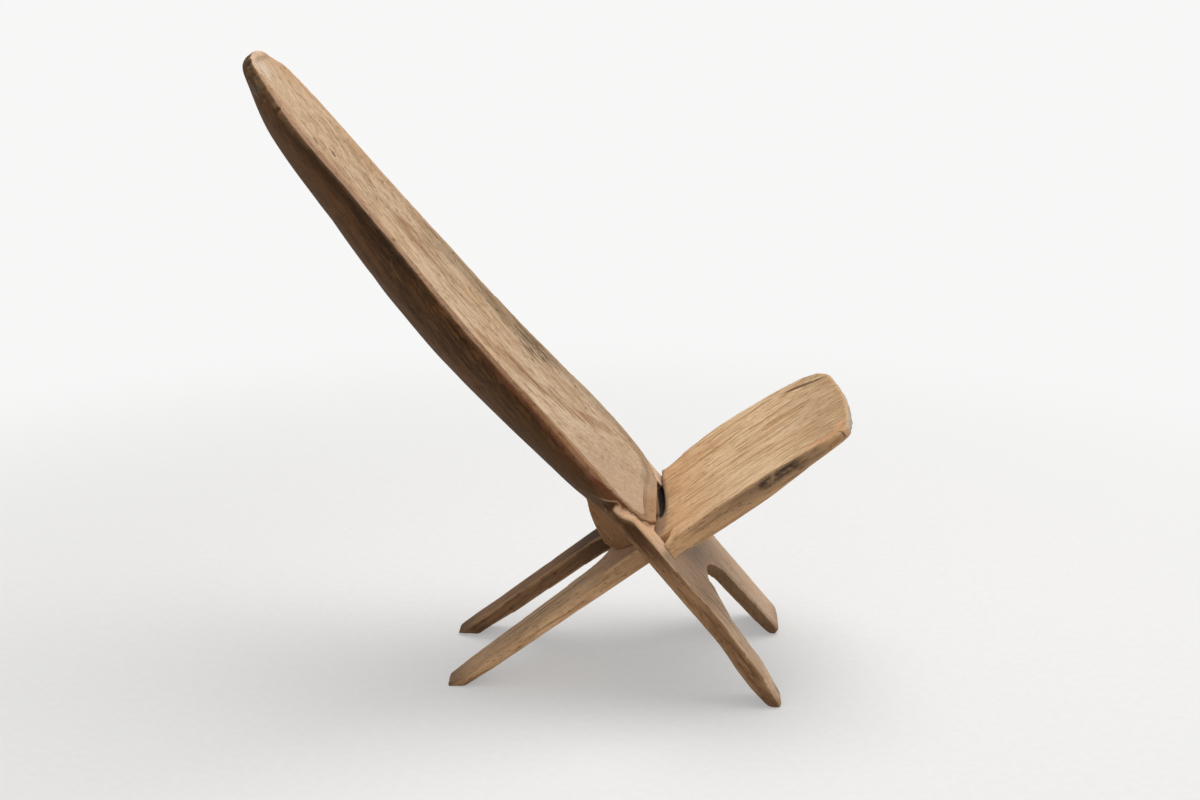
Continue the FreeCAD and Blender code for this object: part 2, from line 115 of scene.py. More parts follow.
# %% [markdown]
# ## From a hard-edged solid to a carveable skin
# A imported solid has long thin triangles, which can't bend. Remeshing with small cubes
# gives an even skin of small squares. It is done with the plank laid flat, so that the
# squares line up with its faces and the long edges stay straight. The cubes clip every
# edge a little, so each point is then set back on the nearest place of the solid.

# %% Lay a solid flat and remesh it


def flat_copy(node, plank):
    """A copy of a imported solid's mesh, laid flat in metres, with its doubles merged."""
    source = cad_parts[node].data
    points = np.empty(len(source.vertices) * 3)
    source.vertices.foreach_get("co", points)
    flat = plank.measure(points.reshape(-1, 3))
    flat[:, 0] *= plank.turned
    copy = source.copy()
    copy.vertices.foreach_set("co", (flat / 1000).ravel())
    loose = bmesh.new()
    loose.from_mesh(copy)
    bmesh.ops.remove_doubles(loose, verts=loose.verts, dist=2e-6)
    loose.to_mesh(copy)
    loose.free()
    return copy


def skin_of(node, plank, cell):
    """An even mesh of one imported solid, as (coordinates in millimetres, faces)."""
    copy = flat_copy(node, plank)
    blank = add_object(f"{node}_blank", copy)
    cubes = blank.modifiers.new("cubes", "REMESH")
    cubes.mode = "VOXEL"
    cubes.voxel_size = cell / 1000
    bpy.context.view_layer.update()
    ready = blank.evaluated_get(bpy.context.evaluated_depsgraph_get())
    even = bpy.data.meshes.new_from_object(ready)
    points = np.empty(len(even.vertices) * 3)
    even.vertices.foreach_get("co", points)
    points = points.reshape(-1, 3)
    faces = np.empty(len(even.loops), dtype=np.int64)
    even.loops.foreach_get("vertex_index", faces)
    faces = faces.reshape(-1, 4)
    solid = BVHTree.FromPolygons(
        [v.co for v in copy.vertices], [tuple(p.vertices) for p in copy.polygons]
    )
    points = np.array([solid.find_nearest(p)[0] for p in points.tolist()]) * 1000
    points[:, 0] *= plank.turned
    if plank.turned < 0:
        faces = faces[:, ::-1]
    bpy.data.objects.remove(blank)
    bpy.data.meshes.remove(copy)
    bpy.data.meshes.remove(even)
    print(f"{node}: {len(points)} points, {len(faces) * 2} triangles")
    return points, faces


# %% [markdown]
# ## Smooth noise
# Nothing that an adze cuts is quite flat. A lattice of fixed random numbers, blended
# smoothly between its corners, gives a gentle unevenness that is the same on every run.

# %% Make the noise


def lattice(cells, seed):
    """A fixed pseudo-random number from -1 to 1 for each whole-numbered cell."""
    mixed = cells[:, 0] * 374761393 + cells[:, 1] * 668265263 + cells[:, 2] * 2147483647
    mixed = (mixed + seed * 974711) & 0xFFFFFFFF
    mixed = ((mixed ^ (mixed >> 13)) * 1274126177) & 0xFFFFFFFF
    mixed = mixed ^ (mixed >> 16)
    return (mixed & 0xFFFF) / 32767.5 - 1


def uneven(points, across, along, out, seed):
    """Smooth noise from about -1 to 1, with the given cell sizes in millimetres."""
    scaled = points / (across, along, out) + 200
    corner = np.floor(scaled).astype(np.int64)
    part = scaled - corner
    part = part * part * (3 - 2 * part)
    total = np.zeros(len(points))
    for step in range(8):
        offset = np.array([step & 1, step >> 1 & 1, step >> 2 & 1])
        share = np.prod(np.where(offset, part, 1 - part), axis=1)
        total += share * lattice(corner + offset, seed)
    return total


def ramp(values, low, high):
    """0 below low, 1 above high, and a smooth rise between them."""
    part = np.clip((values - low) / (high - low), 0, 1)
    return part * part * (3 - 2 * part)


def fall(values, low, high):
    """1 below low, 0 above high, and a smooth fall between them."""
    return ramp(-values, -high, -low)


# %% [markdown]
# ## Wearing the edges
# A hard edge on an old chair is rounded by hands, clothes and floors. Moving each point
# a little towards its neighbours does the same: flat faces stay where they are, and
# edges sink. More rounds give more wear, so each round has its own map of strengths.

# %% Round the edges


def edge_pairs(faces):
    """Each edge of the mesh once, as a pair of point numbers."""
    pairs = np.concatenate([faces[:, [k, (k + 1) % 4]] for k in range(4)])
    pairs.sort(axis=1)
    return np.unique(pairs, axis=0)


def neighbour_mean(values, pairs):
    """The mean of each point's neighbours."""
    first, second = pairs[:, 0], pairs[:, 1]
    count = np.bincount(pairs.ravel(), minlength=len(values))
    sums = [
        np.bincount(first, column[second], len(values))
        + np.bincount(second, column[first], len(values))
        for column in values.T
    ]
    return np.stack(sums, axis=1) / count[:, None]


def worn(points, pairs, strength, rounds):
    """The points after so many rounds of wear of that strength, from 0 to 1."""
    for _ in range(rounds):
        points = points + (neighbour_mean(points, pairs) - points) * strength[:, None]
    return points


def outward(points, faces):
    """The unit normal at each point."""
    first = points[faces[:, 2]] - points[faces[:, 0]]
    second = points[faces[:, 3]] - points[faces[:, 1]]
    face_normal = np.cross(first, second)
    total = np.zeros_like(points)
    for k in range(4):
        for axis in range(3):
            total[:, axis] += np.bincount(faces[:, k], face_normal[:, axis], len(points))
    return total / np.maximum(np.linalg.norm(total, axis=1), 1e-9)[:, None]


def reach_along(along, values, chosen, cell=5):
    """The highest value among the chosen points, as a curve that follows the plank."""
    slots = np.floor(along[chosen] / cell).astype(int)
    first = slots.min()
    highest = np.full(slots.max() - first + 1, -1e9)
    np.maximum.at(highest, slots - first, values[chosen])
    centres = (np.arange(len(highest)) + first + 0.5) * cell
    filled = highest > -1e8
    return np.interp(along, centres[filled], highest[filled])


# %% [markdown]
# ## Slopes along an edge, and feet on the floor
# One pass of the adze along an edge leaves a flat slope between two faces. What stands
# beyond a line across the corner is cut away. Wear lifts the soles a little, so a second
# helper lets each foot down again.

# %% Take off an edge, and stand a foot down


def take_off(side_room, out_room, width, share):
    """The cut for a slope of that width between two faces, from the depths below them."""
    beyond = np.maximum(width - side_room - out_room, 0) * share * 0.5
    inside = (side_room < width) & (out_room < width)
    return np.where(inside, beyond, 0)


def stood(points, plank, foot_height=40):
    """Let each worn foot down until its lowest point is on the floor again."""
    placed = plank.place(points) * 1000
    for sign in (-1, 1):
        foot = (placed[:, 1] * sign > 0) & (placed[:, 2] < foot_height)
        lowest = placed[foot, 2].min()
        placed[foot, 2] -= lowest * (1 - ramp(placed[foot, 2], 10, foot_height))
    return plank.measure(placed / 1000)


# %% [markdown]
# ## The back plank
# The blade starts at a lip, just above the slot. Its half width at a few stations tells
# how far inside the lip a point lies. The hollow that the sitter leans in was scraped
# smooth, so it is worn first and most.

# %% Skin the back and scrape its hollow
BACK_CELL = 2.75
BLADE_START = 138.3
BLADE_LENGTH = 770.5
LIP_STATION = (0, 0.012, 0.035, 0.07, 0.101, 0.15)
LIP_HALF_WIDTH = (83.8, 102.9, 127.2, 138.9, 146.3, 145.6)
LIP_TOP = 255
RIM_WIDTH = (17, 26)
HOLLOW_END = (875, 890)
SCRAPES = 40
lip_rows = [BLADE_START + share * BLADE_LENGTH for share in LIP_STATION]
points, faces = skin_of("back_with_front_legs", BACK, BACK_CELL)
pairs = edge_pairs(faces)
across, along, out = points.T
forward = outward(points, faces)[:, 2]

lip_half = np.interp(along, lip_rows, LIP_HALF_WIDTH)
past_lip = along - np.interp(np.abs(across), LIP_HALF_WIDTH[:-1], lip_rows[:-1])
lip_room = np.minimum(lip_half - np.abs(across), past_lip)
blade_half = reach_along(along, np.abs(across), along > 240)
blade_half = np.where(along < LIP_TOP, lip_half, blade_half)
hollow = ramp(np.minimum(blade_half - np.abs(across), past_lip), *RIM_WIDTH)
hollow = hollow * ramp(forward, 0.6, 0.8) * fall(along, *HOLLOW_END) * (along > BLADE_START)
points = worn(points, pairs, hollow * 0.5, SCRAPES)
print("the hollow takes in", int((hollow > 0.5).sum()), "points")

# %% [markdown]
# ## The near front leg
# Low down it is thicker behind than the straight plank, and halfway up its front swells.
# Its points move level, so that the foot stays on the floor.

# %% Thicken the near front leg
NEAR_LEG_SIDE = -60
NEAR_LEG_TOP = 120
SWELL = 4.5
THICKER_BEHIND = 9
near_leg = (across < NEAR_LEG_SIDE) & (along < NEAR_LEG_TOP)
front_out = reach_along(along, out, near_leg)
rear_out = -reach_along(along, -out, near_leg)
depth = np.clip((out - rear_out) / np.maximum(front_out - rear_out, 1), 0, 1)
lower = fall(along, -92, -8)
middle = fall(along, -10, 70) * ramp(along, -125, -70)
forward_by = near_leg * (SWELL * middle * depth - THICKER_BEHIND * lower * (1 - depth))
points[:, 1] -= math.cos(LEAN) * forward_by
points[:, 2] += math.sin(LEAN) * forward_by
print("the near leg grows by up to", round(-forward_by.min(), 1), "mm behind")

# %% [markdown]
# ## The slot and the near rim
# The walls of the slot keep their shape, because the other plank bears on them: "free"
# is 0 there. The near rim has a narrow slope, cut before the general wear rounds it.

# %% Spare the slot and cut the near rim
CROSSING = math.radians(86.4)
SLOT_MIDDLE, SLOT_HALF_HEIGHT, SLOT_HALF_WIDTH = 129, 14, 110
RIM_SLOPE = 5.5
across, along, out = points.T
slot_gap = np.abs(along + out * math.cos(CROSSING) - SLOT_MIDDLE) - SLOT_HALF_HEIGHT
slot_gap = np.maximum(slot_gap, np.abs(across) - SLOT_HALF_WIDTH)
free = ramp(slot_gap, 2, 9)

near_reach = reach_along(along, -across, (along > 200) & (out > 160))
near_rim = reach_along(along, out, (along > 200) & (across < -40))
near_edge = ramp(along, 205, 270) * fall(along, 855, 885) * (across < 0)
cut = take_off(near_reach + across, near_rim - out, RIM_SLOPE, near_edge)
points[:, 0] += cut
points[:, 2] -= cut
print(int((free < 0.5).sum()), "points keep their place round the slot")

# %% [markdown]
# ## Where the back is worn
# It is softest where it was handled and stood on: the top end, the rear, the shoulders
# over the legs, and the feet. Each row of the table is one kind of wear: its strength at
# every point, from 0 to 0.5, and how many rounds it gets.

# %% Wear the back
height = BACK.place(points)[:, 2] * 1000
everywhere = 0.24 + 0.10 * uneven(points, 20, 60, 20, 3)
leg = 1 - ramp(along, 175, 235)
near_leg_back = leg * fall(across, -125, -95) * (1 - ramp(out, 160, 172))
low_leg = 1 - ramp(along, 60, 120)
foot = 1 - ramp(height, 8, 26)
top_end = ramp(along, 880, 905)
rear_side = ramp(reach_along(along, out, along > 140) - out, 9, 16)
rear_side = rear_side * ramp(along, 225, 260) * fall(forward, 0.1, 0.4)
shoulder = ramp(np.abs(across) - lip_half, -3, 2) * ramp(along, 178, 194)
shoulder = shoulder * fall(along, 240, 258) * fall(out, 174, 180)
for strength, rounds in (
    (everywhere * (0.25 + 0.75 * free), 2),
    (near_leg_back * 0.5 * free, 5),
    (low_leg * 0.3 * free, 2),
    (foot * 0.5, 9),
    (top_end * 0.4, 3),
    (rear_side * 0.5, 24),
    (shoulder * 0.5, 26),
):
    points = worn(points, pairs, strength, rounds)
print("the back is worn at", len(points), "points")

# %% [markdown]
# ## The lip and the far side
# Just inside the lip the wood dips before it rises to the edge. Near the top end the far
# side of the blade bulges out, which shows in the chair's outline.

# %% Dip the lip and push out the far side
LIP_DIP = 4.6
FAR_PUSH = 8
lip_rim = ramp(lip_room, 3, 7) * fall(lip_room, 28, 42) * ramp(forward, 0.4, 0.7)
lip_rim = lip_rim * fall(along, 205, 235)
points[:, 2] -= LIP_DIP * lip_rim * ramp(lip_room, 5, 9) * fall(lip_room, 12, 19)
points = worn(points, pairs, lip_rim * 0.5, 8)
points[:, 0] += FAR_PUSH * (ramp(along, 780, 865) * ramp(across, -4, 30))
print("the lip dips by up to", LIP_DIP, "mm")

# %% [markdown]
# ## Tool marks on the back
# The adze leaves gentle waves and small facets, fewer of them in the scraped hollow. The
# near edge of the top end is chipped, and one notch is low on the rear edge.

# %% Leave the tool marks on the back
CHIP_DEPTH = 2.6
NOTCH_DEPTH = 2.2
NOTCH_ALONG, NOTCH_OUT = 417, 128
across, along, out = points.T
normal = outward(points, faces)
wave = 0.55 * uneven(points, 60, 95, 40, 11) + 0.30 * uneven(points, 22, 40, 22, 12)
facet = np.abs(uneven(points, 17, 48, 17, 13)) - 0.4
calm = ramp(normal[:, 2], 0.6, 0.9) * ramp(along, 138, 150)
change = (wave + 0.9 * facet * (1 - 0.6 * calm)) * free
chips = ramp(uneven(points, 9, 8, 9, 14), 0.05, 0.6)
near_tip = ramp(along, 838, 872) * fall(across, -36, -8) * ramp(normal[:, 2], -0.2, 0.4)
change -= CHIP_DEPTH * chips * near_tip
notch = np.hypot((along - NOTCH_ALONG) / 9, (out - NOTCH_OUT) / 14)
notch = notch + np.maximum(across + 60, 0) / 20
change -= NOTCH_DEPTH * fall(notch, 0, 1)
points = points + normal * change[:, None]
back_points, back_faces = stood(points, BACK), faces
print("tool marks cut up to", round(-change.min(), 2), "mm into the back")

# %% [markdown]
# ## The seat plank with the rear legs
# Each rear leg has its upper edges taken off in one long slope. The underside of the
# board rises towards the near front corner, where the plank was thinner.

# %% Skin the seat and cut its edges
SEAT_CELL = 2.5
LEG_SLOPE = 10
CORNER_LIFT = 5.5
points, faces = skin_of("seat_with_rear_legs", SEAT, SEAT_CELL)
pairs = edge_pairs(faces)
across, along, out = points.T
height = SEAT.place(points)[:, 2] * 1000
board = ramp(along, 172, 184)

top = reach_along(along, out, np.abs(across) < 200)
near_side = reach_along(along, -across, across < 0)
side = np.where(across < 0, near_side, reach_along(along, across, across > 0))
leg = 1 - ramp(along, 60, 100)
cut = take_off(side - np.abs(across), top - out, LEG_SLOPE, leg)
points[:, 0] -= np.sign(across) * cut
points[:, 2] -= cut
under = np.clip((top - out) / 18, 0, 1)
lift = CORNER_LIFT * ramp(along, 310, 425) * fall(across, -150, -90) * under
points[:, 2] += lift * (along > 200)
print("the leg edges lose up to", round(cut.max(), 1), "mm")

# %% [markdown]
# ## Where the seat is worn
# The front edge, the shoulders and the heels are worn most, and the near shoulder is cut
# back a little. A shallow gap in the tail shows as a dark sliver beside the lip. The
# tail only ever loses wood, so that it still slides.

# %% Wear the seat and leave its tool marks
SHOULDER_CUT = 3.5
GAP_DEPTH = 8
everywhere = 0.26 + 0.1 * uneven(points, 20, 60, 20, 23)
points = worn(points, pairs, everywhere * (0.35 + 0.65 * board), 2)
points = worn(points, pairs, ramp(along, 425, 445) * 0.3, 3)
shoulder = (1 - ramp(along, 190, 212)) * board * ramp(np.abs(across), 118, 140)
points = worn(points, pairs, shoulder * 0.5, 30)
near_corner = SHOULDER_CUT * fall(across, -108, -96) * fall(along, 182, 205)
points[:, 1] += near_corner * (along > 172)
heel = 1 - ramp(height, 8, 28)
points = worn(points, pairs, heel * 0.5, 9)
gap = ramp(1 - np.hypot((along - 165) / 6.5, (across - 58) / 70), 0, 0.6)
points[:, 2] -= GAP_DEPTH * gap * (out > 128)

across, along, out = points.T
normal = outward(points, faces)
wave = 0.5 * uneven(points, 55, 90, 30, 31) + 0.3 * uneven(points, 20, 38, 20, 32)
marks = wave + 0.7 * (np.abs(uneven(points, 16, 45, 16, 33)) - 0.4)
legs = 1 - ramp(along, 20, 60)
change = marks * board - (0.1 - marks).clip(0, 2) * legs
points = points + normal * change[:, None]
seat_points, seat_faces = stood(points, SEAT), faces
print("tool marks cut up to", round(-change.min(), 2), "mm into the seat")

# %% [markdown]
# ## Measures for the finish
# Wood is darker in hollows and paler on worn edges. How far a point stands above its
# wider neighbourhood tells which it is. Other stains follow an edge, such as the dark
# line round the hollow of the back. So each point also keeps its distance from the
# outline and its depth below the rim.

# %% Define the measures
ROW = 5
OUTLINE_START = 262.5
OUTLINE_END = 905
BOARD_START = 178


def relief(points, faces):
    """How far each point stands proud of its smoothed surroundings, in millimetres."""
    calm = worn(points, edge_pairs(faces), np.full(len(points), 0.6), 10)
    return np.einsum("ij,ij->i", points - calm, outward(calm, faces))


def inside_distance(points, outline, softness=3.5):
    """The distance in plan from each point to a closed outline, round at its corners."""
    total = np.zeros(len(points))
    for first, second in zip(outline, np.roll(outline, -1, axis=0)):
        run = second - first
        length = max(float(np.hypot(*run)), 1e-6)
        part = np.clip((points - first) @ run / length**2, 0, 1)
        away = np.hypot(*(points - first - part[:, None] * run).T)
        total += np.exp(-away / softness) * length / softness
    return -softness * np.log(np.maximum(total / 2, 1e-30))


def plan_outline(points, rows, chosen, lip):
    """Both sides of a plank in plan at the given rows, with the lip's own half widths."""
    across, along, _ = points.T
    order = np.argsort(along)
    sides = []
    for sign in (-1, 1):
        reach = reach_along(along, across * sign, chosen)
        half = np.interp(rows, along[order], reach[order])
        if lip:
            half = np.where(rows < LIP_TOP, np.interp(rows, lip_rows, LIP_HALF_WIDTH), half)
        sides.append(np.stack([half * sign, rows], axis=1))
    return np.concatenate([sides[0], sides[1][::-1]])


# %% [markdown]
# ## Measuring the back
# The legs have another finish than the blade, so each point also knows which it is on.
# They meet at the lip, and behind it along a crease that slopes up and back.

# %% Measure the back
LEG_FRONT = 173
LEG_TOP = 215
CREASE_START, CREASE_OUT, CREASE_SLOPE = 204, 176, 1.125
across, along, out = back_points.T
back_forward = outward(back_points, back_faces)[:, 2]
levels = np.arange(OUTLINE_START, OUTLINE_END, ROW)
rows = np.concatenate([lip_rows, levels, [along.max() - 1]])
on_face = (along > 240) & (back_forward > 0.4)
back_outline = plan_outline(back_points, rows, on_face, lip=True)
back_margin = inside_distance(back_points[:, :2], back_outline)

near_outline = back_outline[: len(rows)]
beyond = np.abs(across) > np.interp(along, near_outline[:, 1], -near_outline[:, 0]) + 1.5
beyond_lip = (out > LEG_FRONT) & beyond & (along < LEG_TOP)
under_crease = along < CREASE_START + (CREASE_OUT - out) * CREASE_SLOPE
under_crease &= (out <= LEG_FRONT) & (np.abs(across) > 60) & ((back_forward < 0.35) | beyond)
on_leg = (along < BLADE_START - 1) | beyond_lip | under_crease
leg_mark = worn(on_leg.astype(float)[:, None], edge_pairs(back_faces), np.full(len(out), 0.5), 3)
back_marks = {
    "proud": relief(back_points, back_faces),
    "margin": back_margin,
    "below": reach_along(along, out, ~on_leg) - out,
    "leg": leg_mark[:, 0],
}
print("its hollow lies up to", round(back_margin.max()), "mm inside the outline")

# %% [markdown]
# ## Measuring the seat
# It needs the same measures apart from the last, because its tail runs straight on.

# %% Measure the seat
across, along, out = seat_points.T
levels = np.arange(BOARD_START + 4.5, along.max() - 1, ROW)
rows = np.concatenate([[BOARD_START], levels, [along.max() - 0.5]])
on_board = along > BOARD_START
board_outline = plan_outline(seat_points, rows, on_board, lip=False)
seat_marks = {
    "proud": relief(seat_points, seat_faces),
    "margin": inside_distance(seat_points[:, :2], board_outline),
    "below": reach_along(along, out, on_board) - out,
}
print("the board is", round(seat_marks["margin"].max() * 2), "mm wide in plan")

# %% [markdown]
# ## Standing the planks up
# Each carved skin becomes one mesh. It is told which body it moves with, and the imported
# solid that it replaces is hidden.

# %% Put the planks in place
LOWEST, HIGHEST = (np.array(corner) for corner in solid_box)


def plank_object(name, node, body, plank, points, faces, marks):
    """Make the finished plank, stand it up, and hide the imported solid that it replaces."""
    mesh = bpy.data.meshes.new(name)
    placed = np.clip(plank.place(points), LOWEST, HIGHEST)
    wound = faces if plank.turned > 0 else faces[:, ::-1]
    mesh.from_pydata(placed.tolist(), [], wound.tolist())
    mesh.update()
    for mark, values in marks.items():
        kept = mesh.attributes.new(mark, "FLOAT", "POINT")
        kept.data.foreach_set("value", values.astype(np.float32))
    mesh.shade_smooth()
    made = add_object(name, mesh)
    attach(made, body)
    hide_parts(node)
    return made


back_plank = plank_object(
    "back_plank", "back_with_front_legs", "back",
    BACK, back_points, back_faces, back_marks,
)
seat_plank = plank_object(
    "seat_plank", "seat_with_rear_legs", "seat",
    SEAT, seat_points, seat_faces, seat_marks,
)
for made in (back_plank, seat_plank):
    volume = bmesh.new()
    volume.from_mesh(made.data)
    print(made.name, "holds", round(volume.calc_volume(signed=True) * 1000, 3), "litres")
    volume.free()

# %% [markdown]
# ## Writing shader maths as plain sums
# A finish is mostly masks: where the streaks are, where it is stained, where it is worn.
# A small class wraps a node's output, so that each sign in Python adds its Math node.

# %% Wrap one number of the shader


class Mask:
    """One number of the finish at every point of the surface."""

    def __init__(self, finish, socket):
        self.finish = finish
        self.socket = socket

    def with_sign(self, operation, first, second):
        return self.finish.node("ShaderNodeMath", {0: first, 1: second}, operation=operation)

    def __add__(self, other):
        return self.with_sign("ADD", self, other)

    __radd__ = __add__

    def __sub__(self, other):
        return self.with_sign("SUBTRACT", self, other)

    def __rsub__(self, other):
        return self.with_sign("SUBTRACT", other, self)

    def __mul__(self, other):
        return self.with_sign("MULTIPLY", self, other)

    __rmul__ = __mul__

    def __truediv__(self, other):
        return self.with_sign("DIVIDE", self, other)

    def __pow__(self, other):
        return self.with_sign("POWER", self, other)

    def __abs__(self):
        return self.with_sign("ABSOLUTE", self, 0)

    def highest(self, other):
        return self.with_sign("MAXIMUM", self, other)

    def rise(self, low, high):
        """0 below low, 1 above high, smooth between; the other way round if low > high."""
        return self.finish.node(
            "ShaderNodeMapRange", {0: self, 1: low, 2: high}, interpolation_type="SMOOTHSTEP"
        )

    def near(self, centre, reach):
        """1 at the centre, falling smoothly to 0 at the reach on both sides."""
        return abs(self - centre).rise(reach, 0)


# %% [markdown]
# ## One finish and its nodes
# A second class holds one material and adds its few kinds of node. Most colours are
# laid over a base in rows, as a finisher lays on coats.

# %% Build a finish from nodes


class Finish:
    """One material and the nodes that are added to it."""

    def __init__(self, name):
        self.material = bpy.data.materials.new(name)
        self.material.use_nodes = True
        self.tree = self.material.node_tree
        self.tree.nodes.clear()

    def node(self, kind, inputs, output=0, **settings):
        """Add a node, make its settings, then set or link its sockets."""
        made = self.tree.nodes.new(kind)
        for key, value in settings.items():
            setattr(made, key, value)
        for key, value in inputs.items():
            if isinstance(value, Mask):
                self.tree.links.new(value.socket, made.inputs[key])
            else:
                made.inputs[key].default_value = value
        return Mask(self, made.outputs[output])

    def mix(self, share, first, second, kind="MIX"):
        """Blend two colours; a plain one has the 0 to 255 values of a picture."""
        first, second = (c if isinstance(c, Mask) else colour(*c) for c in (first, second))
        return self.node(
            "ShaderNodeMix", {0: share, 6: first, 7: second}, 2,
            data_type="RGBA", blend_type=kind,
        )

    def layers(self, base, *rows):
        """Lay shades over a base, each by a mask, its two limits and a share."""
        for mask, low, high, share, shade in rows:
            base = self.mix(mask.rise(low, high) * share, base, shade)
        return base

    def tint(self, share, first, second):
        """Multiply one colour by another, by a share."""
        return self.mix(share, first, second, "MULTIPLY")

    def cells(self, across, along, out, detail=2, roughness=0.5):
        """Noise from 0 to 1 at a place given in units of its own cells."""
        place = self.node("ShaderNodeCombineXYZ", {0: across, 1: along, 2: out})
        return self.node(
            "ShaderNodeTexNoise",
            {"Vector": place, "Scale": 1, "Detail": detail, "Roughness": roughness},
        )

    def marks(self, *names):
        """The measures of those names that were kept on the mesh."""
        return [self.node("ShaderNodeAttribute", {}, "Fac", attribute_name=n) for n in names]

    def tell(self, part):
        """Print how far the finish has grown."""
        print(f"{part}: {len(self.tree.nodes)} nodes so far")

    def show(self, shader):
        """Join a shader to the output."""
        last = self.tree.nodes.new("ShaderNodeOutputMaterial")
        self.tree.links.new(shader.socket, last.inputs[0])


def colour(red, green, blue):
    """A shader colour from the 0 to 255 values of a picture."""
    parts = []
    for part in (red, green, blue):
        part = part / 255
        parts.append(part / 12.92 if part <= 0.04045 else ((part + 0.055) / 1.055) ** 2.4)
    return (*parts, 1)


# %% [markdown]
# ## Where a point lies, inside the shader
# The finish needs the same three lengths as the carving, and which way the surface
# faces. Object coordinates don't move when the chair is taken apart, so the stains stay
# on the wood.

# %% Read the place on the plank


class Place:
    """Masks of a point's place on its plank and of the way the surface faces there."""

    def __init__(self, finish, plank):
        self.finish = finish
        where = finish.node("ShaderNodeTexCoord", {}, "Object")
        forward, side, height = self.parts(where)
        forward = forward * 1000 - ORIGIN_FORWARD
        self.side = side * 1000
        self.height = height * 1000
        self.along = self.turn(plank.along, forward, self.height)
        self.out = self.turn(plank.out, forward, self.height)
        normal = finish.node("ShaderNodeNewGeometry", {}, "Normal")
        forward, self.face_side, height = self.parts(normal)
        self.face_along = self.turn(plank.along, forward, height)
        self.face_out = self.turn(plank.out, forward, height)

    def parts(self, vector):
        outputs = self.finish.node("ShaderNodeSeparateXYZ", {0: vector}).socket.node.outputs
        return [Mask(self.finish, output) for output in outputs]

    def turn(self, direction, forward, height):
        return forward * float(direction[0]) + height * float(direction[2])

    def blot(self, centre, reach, edge=0.35, wobble=0):
        """A soft-edged oval at centre (across, along), with its half sizes as reach."""
        flat = ((self.side - centre[0]) / reach[0]) ** 2
        flat = flat + ((self.along - centre[1]) / reach[1]) ** 2
        return (flat + wobble).rise(1 + edge, 1 - edge)

    def streak(self, start, end, width, wobble=0):
        """A soft line between two places (across, along), thinner at its ends."""
        run_side, run_along = end[0] - start[0], end[1] - start[1]
        length = math.hypot(run_side, run_along)
        run_side, run_along = run_side / length, run_along / length
        ahead = (self.side - start[0]) * run_side + (self.along - start[1]) * run_along
        beside = (self.side - start[0]) * run_along - (self.along - start[1]) * run_side
        middle = (ahead / length * 2 - 1) ** 2
        return (abs(beside + wobble) / width + middle).rise(1.15, 0.55)


# %% [markdown]
# ## Old hardwood
# The grain is one solid pattern that runs through the whole plank, so it is stretched
# noise, long along the grain and narrow across it. Three widths lie over each other:
# broad bands, streaks, and fine fibres. Short dark dashes are open pores. The last
# helper darkens dents, pores and feet alike on both planks.

# %% Describe the grain


# Millimetres across and along, detail and roughness of each width of grain.
BAND, STREAK = (17, 210, 3, 0.55), (5.2, 95, 3, 0.6)
FIBRE, PORE = (3, 34, 3, 0.7), (1.3, 10, 1, 0.5)
PATCHY = (0.36, 0.64)
DENT_BROWN, PORE_BROWN = (112, 84, 62), (112, 82, 56)


def grain(place, seed):
    """The wood pattern: band, streak, fibre and pore, then patch and mottle."""
    finish, side, along, out = place.finish, place.side, place.along, place.out
    bend = finish.cells(side / 110 + seed, along / 260, out / 110, 1) * 16
    x = side + bend
    z = out - bend
    widths = [
        finish.cells(x / wide, along / long, z / wide, detail, roughness)
        for wide, long, detail, roughness in (BAND, STREAK, FIBRE, PORE)
    ]
    patch = finish.cells(side / 60 - seed, along / 120, out / 60, 4, 0.6)
    mottle = finish.cells(side / 8, along / 15 + seed, out / 8, 3, 0.6)
    return *widths, patch, mottle


def finish_wood(spot, streak, fibre, pore, base, dents, foot_brown):
    """Darken dents, pores and feet, then join colour, roughness and relief."""
    finish = spot.finish
    base = finish.tint(dents, base, DENT_BROWN)
    base = finish.tint(pore.rise(0.6, 0.72) * 0.6, base, PORE_BROWN)
    base = finish.tint(spot.height.rise(34, 0) * 0.6, base, foot_brown)
    rough = 0.66 + streak * 0.2
    height = fibre * 0.6 + streak * 0.6 - pore.rise(0.6, 0.8) * 0.5
    normal = finish.node("ShaderNodeBump", {"Height": height, "Strength": 0.6, "Distance": 0.0015})
    finish.show(finish.node(
        "ShaderNodeBsdfPrincipled",
        {"Base Color": base, "Roughness": rough, "Normal": normal, "Specular IOR Level": 0.16},
    ))


# %% [markdown]
# ## The finish of the back
# The sitter's side is dry and pale, with soft brown streaks. The outer sides and the
# rear are dark with handling, and the legs lie between the two.

# %% Finish the back
back_finish = Finish("back_wood_finish")
spot = Place(back_finish, BACK)
band, streak, fibre, pore, patch, mottle = grain(spot, 3.7)
mix, layers = back_finish.mix, back_finish.layers
proud, margin, below, leg = back_finish.marks("proud", "margin", "below", "leg")
side, along, out = spot.side, spot.along, spot.out
wander = (mottle - 0.5) * 5 + (patch - 0.5) * 6

pale, tan, straw = (202, 175, 145), (194, 163, 129), (206, 184, 157)
brown, rust = (138, 104, 73), (142, 101, 64)
front = layers(
    mix(patch.rise(*PATCHY), pale, tan),
    (band, 0.45, 0.62, 0.4, straw),
    (along, 460, 300, 0.45, (208, 188, 164)),
    (streak, 0.5, 0.66, 0.6, (166, 132, 98)),
    (band, 0.52, 0.66, 0.5, (176, 144, 108)),
    (fibre, 0.5, 0.64, 0.62, (152, 119, 87)),
    (fibre, 0.48, 0.36, 0.5, (216, 194, 164)),
)
low_pale = spot.blot((-20, 185), (110, 75), 0.85, wander * 0.04)
front = mix(low_pale * 0.65, front, (177, 149, 122))
back_finish.tell("front")

